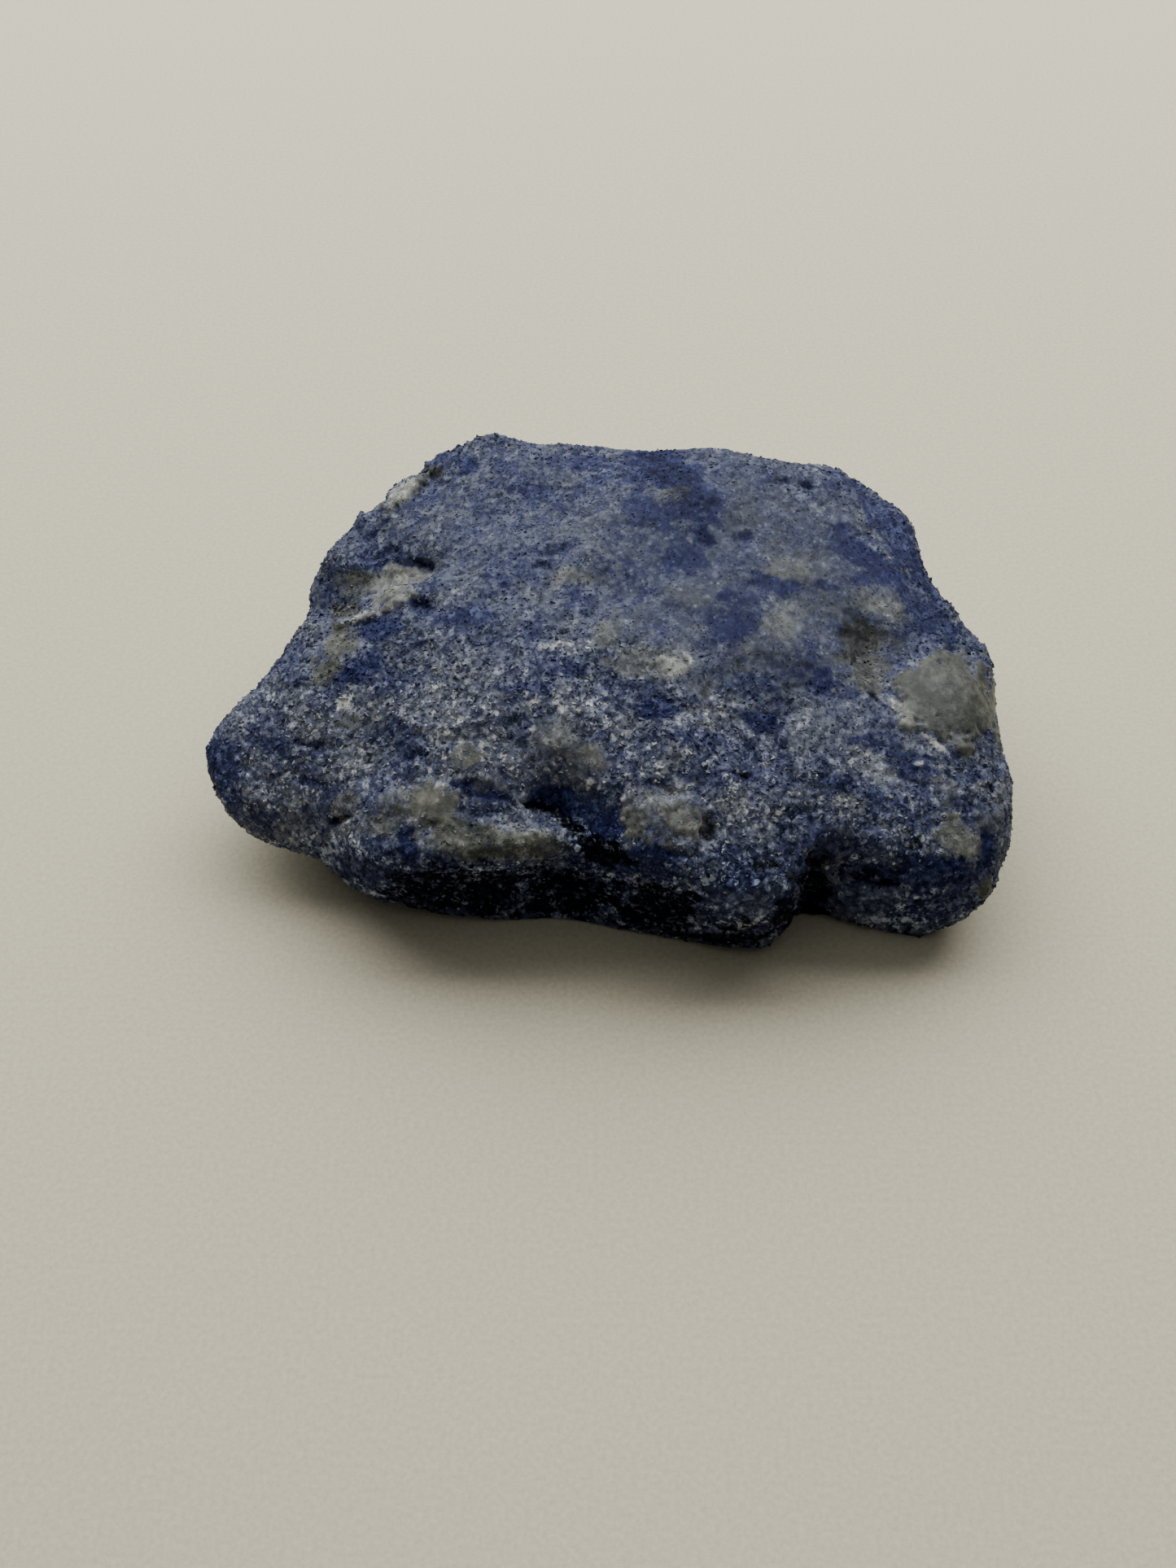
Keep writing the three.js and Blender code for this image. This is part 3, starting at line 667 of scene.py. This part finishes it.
def grain_corners(places, normals, calm, random):
    """The corners of small angular crystals, each a lopsided block, sunk into the surface."""
    count = len(places)
    smallest, largest = GRAIN_HALF
    half = smallest + (largest - smallest) * random.random(count) ** GRAIN_SMALLNESS
    half *= 1 - GRAIN_CALM_SHARE * calm
    shape = np.array(BLOCK_CORNERS) * random.uniform(*CORNER_STRETCH, (count, CORNERS, 3))
    shape *= random.uniform(*SIDE_STRETCH, (count, 1, 3)) * half[:, None, None]
    shape = np.einsum("nij,nkj->nki", turns(count, random), shape)
    sunk = random.uniform(*GRAIN_DEPTH, count) * half
    centre = places + normals * sunk[:, None]
    co = shape + centre[:, None, :]
    co[:, :, 2] = np.maximum(co[:, :, 2], REST_BAND)
    return co.reshape(-1, 3)


def grain_piece(name, places, normals, marks, random):
    """One piece that holds many grains."""
    count = len(places)
    corners = grain_corners(places, normals, marks["calm"], random)
    triangles = np.array([t for a, b, c, d in BLOCK_SIDES for t in ((a, b, c), (a, c, d))])
    faces = triangles[None] + CORNERS * np.arange(count)[:, None, None]
    mesh = bpy.data.meshes.new(name)
    mesh.from_pydata(corners, [], faces.reshape(-1, 3).tolist())
    for mark_name, values in marks.items():
        write_mark(mesh, mark_name, np.repeat(values, CORNERS))
    write_mark(mesh, "tone", np.repeat(random.random(count), CORNERS))
    piece = bpy.data.objects.new(name, mesh)
    bpy.context.scene.collection.objects.link(piece)
    return piece


def make_grains(stone):
    """The loose grains, in a few pieces."""
    random = np.random.default_rng(GRAIN_SEED)
    places, normals, marks = surface_samples(stone.data, random)
    pieces = []
    for k in range(GRAIN_PIECES):
        part = slice(k * GRAINS_A_PIECE, (k + 1) * GRAINS_A_PIECE)
        some = {name: values[part] for name, values in marks.items()}
        pieces.append(grain_piece(f"grains_{k + 1}", places[part], normals[part], some, random))
    return pieces


# ---- Materials -------------------------------------------------------------------------------


def srgb(r, g, b):
    """A linear colour from the 0 to 255 values a screen shows."""
    return tuple(((c / 255 + 0.055) / 1.055) ** 2.4 for c in (r, g, b)) + (1.0,)


PER_MM = 1000.0
# The pattern is drawn out along the photograph's line of sight, so that grains don't look
# flattened where the surface slopes away.
GRAIN_WAY = tuple(camera_back)
GRAIN_LENGTH = 1.6
STREAK_ANGLE = math.radians(62)  # turns the streaks' own direction onto x
STREAK_PER_MM = (0.6, 4.5, 4.5)  # streaks are long and narrow
WARP = 0.3  # how far the warp moves the pattern, in millimetres

# Smooth noises: lumps in a millimetre, octaves, and how strong the fine octaves are.
WARPS = (2.2, 2.0, 0.55)
SPECKS = (11.0, 2.0, 0.55)
SOFT_LUMPS = (2.2, 5.0, 0.8)
CLUSTERS = (0.9, 4.0, 0.6)
STREAKS = (1.0, 3.0, 0.55)
FLECKS = (3.4, 4.0, 0.6)
CLOUDS = (0.5, 5.0, 0.62)
TEARS = (2.6, 3.0, 0.6)
VEILS = (0.7, 4.0, 0.6)
QUARTZ_CLOUDS = (2.6, 4.0, 0.55)
VEIL_SHIFT = (9.0, 4.0, 2.0)  # takes the veils from another part of the noise
# Cells in a millimetre.
BIG_CELLS = 3.2
SMALL_CELLS = 7.0
DOTS = 3.6

# Where each look starts and where it is full, in the values that it is made from.
DOT_RANGE = (0.42, 0.15)
DOT_CHOICE = (0.4, 0.8)
FLECK_RANGE = (0.34, 0.58)
FLECK_STRENGTH = (0.45, 1.3)  # how strong the blue mark is outside and inside a fleck
STAIN_RANGE = (0.81, 1.31)
VEIL_RANGE = (0.42, 0.62)
VEIL_STRENGTH = (0.0, 0.5)
GLASS_RANGE = (0.6, 1.25)
# The range of the dark mark, for painted shade and dark stain.
SHADE_AND_STAIN_RANGE = (0.3, 0.8)
BRIGHT_RANGE = (0.88, 0.94)

# Tones, from 0, dark, to 1, light, and how strongly the marks change them.
CALM_TONE = 0.45  # calm patches draw every grain towards this
CALM_EVENS = 0.6
CLOUDED_TONE = 0.5  # and the clouds in their quartz towards this
CALM_CLEARS = 0.7
HAZE_BLENDS = 0.85
MIDDLE_TONE = 0.45  # contrast is counted from here
LIFTED_TONE = 0.53  # and this is where that middle goes
PLAIN_CONTRAST = 0.9
CRISP_CONTRAST = 1.35  # what crisp patches add to it
PALE_LIFT = 0.5

# Colours by tone.
GREY_TONES = [
    (0.12, srgb(28, 33, 53)),
    (0.42, srgb(63, 69, 89)),
    (0.62, srgb(90, 96, 113)),
    (0.85, srgb(126, 131, 143)),
    (1.0, srgb(188, 190, 187)),
]
OLIVE_TONES = [
    (0.12, srgb(32, 34, 42)),
    (0.42, srgb(69, 73, 79)),
    (0.62, srgb(95, 99, 103)),
    (0.85, srgb(132, 135, 134)),
    (1.0, srgb(182, 184, 180)),
]
NAVY_TONES = [
    (0.15, srgb(13, 16, 46)),
    (0.5, srgb(29, 37, 80)),
    (0.85, srgb(60, 71, 112)),
]
GLASSY_TONES = [
    (0.3, srgb(40, 42, 41)),
    (0.55, srgb(64, 67, 64)),
    (0.8, srgb(112, 114, 107)),
    (1.0, srgb(172, 171, 162)),
]
# Near black for the dark mark: painted shade in pits, pockets, the cave and the front wall, and
# dark stain elsewhere.
SHADE_AND_STAIN_BLACK = srgb(3, 4, 12)
SHADE_AND_STAIN_COVER = 0.95
BRIGHT_SPECK = srgb(106, 119, 156)
SHADE_COOL_TINT = (0.72, 0.86, 1.25)  # crisp grains, which face away from the lamps, are painted a colder grey: a painted cool shade cast
SHADE_COOL_SHARE = 0.7

# The surface itself.
LEAN = 0.4  # how far each crystal face leans
GLASSY_LEAN = 0.2  # the share of it that is left where the stone is glassy or hazy
BUMP_HEIGHT = 0.03 * MM
BUMP_STRENGTH = 0.4
BUMP_FADE = 1.3  # as much haze as this would leave no bump
GRAIN_ROUGHNESS = (0.7, 0.45)  # of dark and of light grains
ROUGHNESS_RANGE = (0.3, 0.8)
GLASS_ROUGHNESS = 0.35
SHINE = (0.12, 0.03)  # of clean stone and of stone painted near black with shade and stain


class Shader:
    """A material's nodes, added by kind, with sockets linked or set by name."""

    def __init__(self, name):
        self.material = bpy.data.materials.new(name)
        self.material.use_nodes = True
        self.tree = self.material.node_tree
        self.surface = self.tree.nodes["Principled BSDF"]

    def add(self, kind, inputs, **settings):
        node = self.tree.nodes.new(kind)
        for key, value in settings.items():
            setattr(node, key, value)
        self.feed(node, inputs)
        return node

    def feed(self, node, inputs):
        for key, value in inputs.items():
            if isinstance(value, bpy.types.NodeSocket):
                self.tree.links.new(value, node.inputs[key])
            else:
                node.inputs[key].default_value = value

    def math(self, operation, a, b=0.0, clamp=False):
        inputs = {0: a, 1: b}
        return self.add("ShaderNodeMath", inputs, operation=operation, use_clamp=clamp).outputs[0]

    def times(self, a, b):
        return self.math("MULTIPLY", a, b)

    def total(self, *terms):
        """The sum of the terms, where a pair stands for a value and its weight."""
        first, *others = [self.times(*t) if isinstance(t, tuple) else t for t in terms]
        for other in others:
            first = self.math("ADD", first, other)
        return first

    def centred(self, value):
        return self.math("SUBTRACT", value, 0.5)

    def vectors(self, operation, a, b=(0.0, 0.0, 0.0)):
        inputs = {0: a, 1: b}
        return self.add("ShaderNodeVectorMath", inputs, operation=operation).outputs[0]

    def scaled(self, vector, factor):
        inputs = {0: vector, "Scale": factor}
        return self.add("ShaderNodeVectorMath", inputs, operation="SCALE").outputs[0]

    def shortened(self, vector, way, share):
        """The vector with its part along one direction cut to a share of its length."""
        along = self.add("ShaderNodeVectorMath", {0: vector, 1: way}, operation="DOT_PRODUCT")
        cut = self.times(along.outputs["Value"], share - 1)
        return self.vectors("ADD", vector, self.scaled(way, cut))

    def noise(self, vector, scale, detail, roughness, output="Fac"):
        inputs = {"Vector": vector, "Scale": scale, "Detail": detail, "Roughness": roughness}
        return self.add("ShaderNodeTexNoise", inputs).outputs[output]

    def cells(self, vector, scale):
        return self.add("ShaderNodeTexVoronoi", {"Vector": vector, "Scale": scale}).outputs

    def between(self, value, low, high, to_low=0.0, to_high=1.0):
        """From to_low to to_high as the value goes from low to high, smoothly."""
        inputs = {"Value": value, "From Min": low, "From Max": high}
        inputs.update({"To Min": to_low, "To Max": to_high})
        return self.add("ShaderNodeMapRange", inputs, interpolation_type="SMOOTHSTEP").outputs[0]

    def ramp(self, value, stops):
        node = self.add("ShaderNodeValToRGB", {"Fac": value})
        band = node.color_ramp
        while len(band.elements) < len(stops):
            band.elements.new(0.5)
        for element, (place, colour) in zip(band.elements, stops):
            element.position = place
            element.color = colour
        return node.outputs["Color"]

    def mix(self, share, a, b):
        node = self.add("ShaderNodeMix", {"Factor": share}, data_type="RGBA")
        self.feed(node, {6: a, 7: b})
        return node.outputs[2]

    def mix_value(self, share, a, b):
        node = self.add("ShaderNodeMix", {0: share}, data_type="FLOAT")
        self.feed(node, {2: a, 3: b})
        return node.outputs[0]

    def part(self, colour, k):
        return self.add("ShaderNodeSeparateColor", {0: colour}).outputs[k]

    def mark(self, name):
        return self.add("ShaderNodeAttribute", {}, attribute_name=name).outputs["Fac"]


def crystals(s, warped):
    """The tone of the crystal at each place, and how its face leans."""
    big = s.cells(warped, BIG_CELLS)
    small = s.cells(warped, SMALL_CELLS)
    tone = s.total(
        (s.part(big["Color"], 0), 0.58),
        (s.part(small["Color"], 1), 0.34),
        (big["Distance"], -0.5),
        0.28,
    )
    leans = [
        s.scaled(s.vectors("SUBTRACT", cell["Color"], (0.5, 0.5, 0.5)), LEAN)
        for cell in (big, small)
    ]
    return tone, s.vectors("ADD", *leans)


def hazy_tones(s, mm, grain):
    """Grains that blend into soft lumps, with small pale dots."""
    soft = s.centred(s.noise(mm, *SOFT_LUMPS))
    dots = s.cells(mm, DOTS)
    dot = s.times(
        s.between(dots["Distance"], *DOT_RANGE),
        s.between(s.part(dots["Color"], 0), *DOT_CHOICE),
    )
    return s.total((soft, 1.15), (grain, 0.55), (dot, 0.26), 0.055)


def streaks(s, mm):
    """Long narrow lumps, about 0 on average."""
    turned = s.add(
        "ShaderNodeVectorRotate", {"Vector": mm, "Angle": STREAK_ANGLE}, rotation_type="Z_AXIS"
    )
    drawn = s.vectors("MULTIPLY", turned.outputs[0], STREAK_PER_MM)
    return s.centred(s.noise(drawn, *STREAKS))


def grain_tones(s, mm, marks, cell_tone, speck, cluster):
    """How light each grain is, from 0 to 1."""
    grain = s.total((cell_tone, 0.62), (speck, 0.3), 0.015)
    grain = s.mix_value(s.times(marks["calm"], CALM_EVENS), grain, CALM_TONE)
    grain = s.mix_value(s.times(marks["haze"], HAZE_BLENDS), grain, hazy_tones(s, mm, grain))
    contrast = s.total((marks["crisp"], CRISP_CONTRAST), PLAIN_CONTRAST)
    grain = s.total((s.total(grain, -MIDDLE_TONE), contrast), LIFTED_TONE)
    return s.total(
        grain,
        (cluster, 0.16),
        (marks["clump"], 0.03),
        (marks["blue"], -0.08),
        (s.times(streaks(s, mm), marks["streak"]), 1.1),
    )


def stain(s, mm, marks, grain, torn):
    """How blue the stone is: clouds of stain, torn at the scale of the grains."""
    flecks = s.noise(mm, *FLECKS)
    blue = s.times(marks["blue"], s.between(flecks, *FLECK_RANGE, *FLECK_STRENGTH))
    clouds = s.total(
        (s.noise(mm, *CLOUDS), 1.5),
        (torn, 0.9),
        (grain, -0.3),
        (blue, 0.62),
        (marks["pale"], -0.2),
        (marks["glass"], -0.2),
        (marks["clump"], 0.06),
        (marks["haze"], -0.1),
        (s.times(marks["haze"], blue), 0.35),
        (marks["haze"], s.times(s.centred(torn), 0.9)),
    )
    most = s.total((blue, 0.25), (marks["crisp"], 0.1), 0.75)
    return s.math("MULTIPLY", s.between(clouds, *STAIN_RANGE), most, clamp=True)


def grain_colour(s, mm, marks, grain, torn):
    """Grey grains under an olive veil here and there, stained navy."""
    # Pale lifts the tone: pale grains, and also painted light and painted highlights.
    light = s.total(grain, (marks["pale"], PALE_LIFT))
    veil = s.noise(s.vectors("ADD", mm, VEIL_SHIFT), *VEILS)
    veil = s.between(veil, *VEIL_RANGE, *VEIL_STRENGTH)
    grey = s.mix(veil, s.ramp(light, GREY_TONES), s.ramp(light, OLIVE_TONES))
    # Painted shade colour: crisp grains, on faces turned from the lamps, are cooled so that their
    # shade looks bluish against the warm light bounced off the floor.
    shade_cooled = s.vectors("MULTIPLY", grey, SHADE_COOL_TINT)
    grey = s.mix(s.times(marks["crisp"], SHADE_COOL_SHARE), grey, shade_cooled)
    return s.mix(stain(s, mm, marks, grain, torn), grey, s.ramp(grain, NAVY_TONES))


def quartz_colour(s, mm, marks, grain, cluster):
    """Glassy quartz: olive grey, clouded."""
    cloudy = s.noise(mm, *QUARTZ_CLOUDS)
    cloudy = s.mix_value(s.times(marks["calm"], CALM_CLEARS), cloudy, CLOUDED_TONE)
    tone = s.total(cloudy, (grain, 0.4), (marks["pale"], 0.4), (cluster, 0.3), -0.2)
    return s.ramp(tone, GLASSY_TONES)


def stone_material(name, loose):
    """Grey and navy quartz; loose grains have one tone each, and cells give the other tones."""
    s = Shader(name)
    place = s.add("ShaderNodeTexCoord", {}).outputs["Object"]
    mm = s.shortened(s.scaled(place, PER_MM), GRAIN_WAY, 1 / GRAIN_LENGTH)
    warped = s.vectors("ADD", mm, s.scaled(s.noise(mm, *WARPS, output="Color"), WARP))
    marks = {mark_name: s.mark(mark_name) for mark_name in MARKS}
    speck = s.noise(mm, *SPECKS)
    torn = s.noise(warped, *TEARS)
    cluster = s.centred(s.noise(mm, *CLUSTERS))
    if loose:
        cell_tone = s.mark("tone")
    else:
        cell_tone, lean = crystals(s, warped)
    grain = grain_tones(s, mm, marks, cell_tone, speck, cluster)

    ragged = s.total(torn, (grain, 0.15), -0.18)
    glassy = s.between(s.total(marks["glass"], ragged), *GLASS_RANGE)
    # How near black the stone is painted: painted shade in pits, pockets, the cave and the front
    # wall, and dark stain elsewhere.
    shade_and_stain = s.between(s.total(marks["dark"], (torn, 0.4), (grain, -0.3)), *SHADE_AND_STAIN_RANGE)
    bright = s.times(s.between(cell_tone, *BRIGHT_RANGE), marks["crisp"])
    colour = grain_colour(s, mm, marks, grain, torn)
    colour = s.mix(glassy, colour, quartz_colour(s, mm, marks, grain, cluster))
    # Painted shade and dark stain go near black; pale grains still show through them in crisp
    # patches.
    colour = s.mix(s.times(shade_and_stain, SHADE_AND_STAIN_COVER), colour, SHADE_AND_STAIN_BLACK)
    colour = s.mix(s.times(shade_and_stain, bright), colour, BRIGHT_SPECK)

    face = s.add("ShaderNodeNewGeometry", {}).outputs["Normal"]
    if not loose:
        left = s.between(s.math("MAXIMUM", glassy, marks["haze"]), 0.0, 1.0, 1.0, GLASSY_LEAN)
        face = s.vectors("NORMALIZE", s.vectors("ADD", face, s.scaled(lean, left)))
    strength = s.times(s.math("SUBTRACT", BUMP_FADE, marks["haze"]), BUMP_STRENGTH)
    bump = s.add(
        "ShaderNodeBump",
        {"Height": speck, "Normal": face, "Strength": strength, "Distance": BUMP_HEIGHT},
    ).outputs[0]
    grainy = s.between(grain, *ROUGHNESS_RANGE, *GRAIN_ROUGHNESS)
    rough = s.mix_value(glassy, grainy, GLASS_ROUGHNESS)
    s.feed(s.surface, {"Base Color": colour, "Roughness": rough, "Normal": bump})
    s.feed(s.surface, {"Specular IOR Level": s.between(shade_and_stain, 0.0, 1.0, *SHINE)})
    return s.material


# ---- Stage -----------------------------------------------------------------------------------

FLOOR_HALF = 0.6
FLOOR_ROUGHNESS = 0.9
FIBRES = (4500.0, 5.0, 0.7)  # a noise too, with its lumps in a metre
PAPER_TONES = [(0.3, srgb(198, 192, 164)), (0.7, srgb(222, 216, 190))]
# Each lamp: its name, its place, its size, and its power in watts. They all face the stone.
LAMPS = [
    ("window", (0.0, 0.165, 0.178), (0.50, 0.26), 1.68),
    ("ceiling", (0.0, 0.05, 0.36), (0.60, 0.60), 0.30),
]
ROOM_COLOUR = (1.0, 0.98, 0.95, 1.0)
ROOM_STRENGTH = 0.075


def floor_material():
    s = Shader("paper_floor")
    place = s.add("ShaderNodeTexCoord", {}).outputs["Object"]
    colour = s.ramp(s.noise(place, *FIBRES), PAPER_TONES)
    s.feed(s.surface, {"Base Color": colour, "Roughness": FLOOR_ROUGHNESS})
    return s.material


def make_floor():
    mesh = bpy.data.meshes.new("floor")
    corners = [(FLOOR_HALF * x, FLOOR_HALF * y, 0) for x, y in ((-1, -1), (1, -1), (1, 1), (-1, 1))]
    mesh.from_pydata(corners, [], [(0, 1, 2, 3)])
    floor = bpy.data.objects.new("floor", mesh)
    bpy.context.scene.collection.objects.link(floor)
    mesh.materials.append(floor_material())


def make_lamp(name, place, size, power):
    data = bpy.data.lights.new(name, "AREA")
    data.shape = "RECTANGLE"
    data.size, data.size_y = size
    data.energy = power
    lamp = bpy.data.objects.new(name, data)
    lamp.location = place
    lamp.rotation_euler = (-Vector(place)).to_track_quat("-Z", "Y").to_euler()
    bpy.context.scene.collection.objects.link(lamp)


def make_room():
    """Soft light from everywhere."""
    room = bpy.data.worlds.new("room")
    room.use_nodes = True
    background = room.node_tree.nodes["Background"]
    background.inputs["Color"].default_value = ROOM_COLOUR
    background.inputs["Strength"].default_value = ROOM_STRENGTH
    bpy.context.scene.world = room


# ---- Scene -----------------------------------------------------------------------------------


def make_stone():
    stone = fine_stone()
    roughen(stone)
    thin_out(stone)
    mark(stone)
    smooth = np.ones(len(stone.data.polygons), dtype=bool)
    stone.data.polygons.foreach_set("use_smooth", smooth)
    stone.data.materials.clear()
    stone.data.materials.append(stone_material("dumortierite_quartz", loose=False))
    return stone


make_camera()
for lamp in LAMPS:
    make_lamp(*lamp)
make_room()
make_floor()
stone = make_stone()
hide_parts("dumortierite_stone")
grain_pieces = make_grains(stone)
grain_material = stone_material("loose_grains", loose=True)
for piece in grain_pieces:
    piece.data.materials.append(grain_material)
for piece in [stone, *grain_pieces]:
    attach(piece, "root")
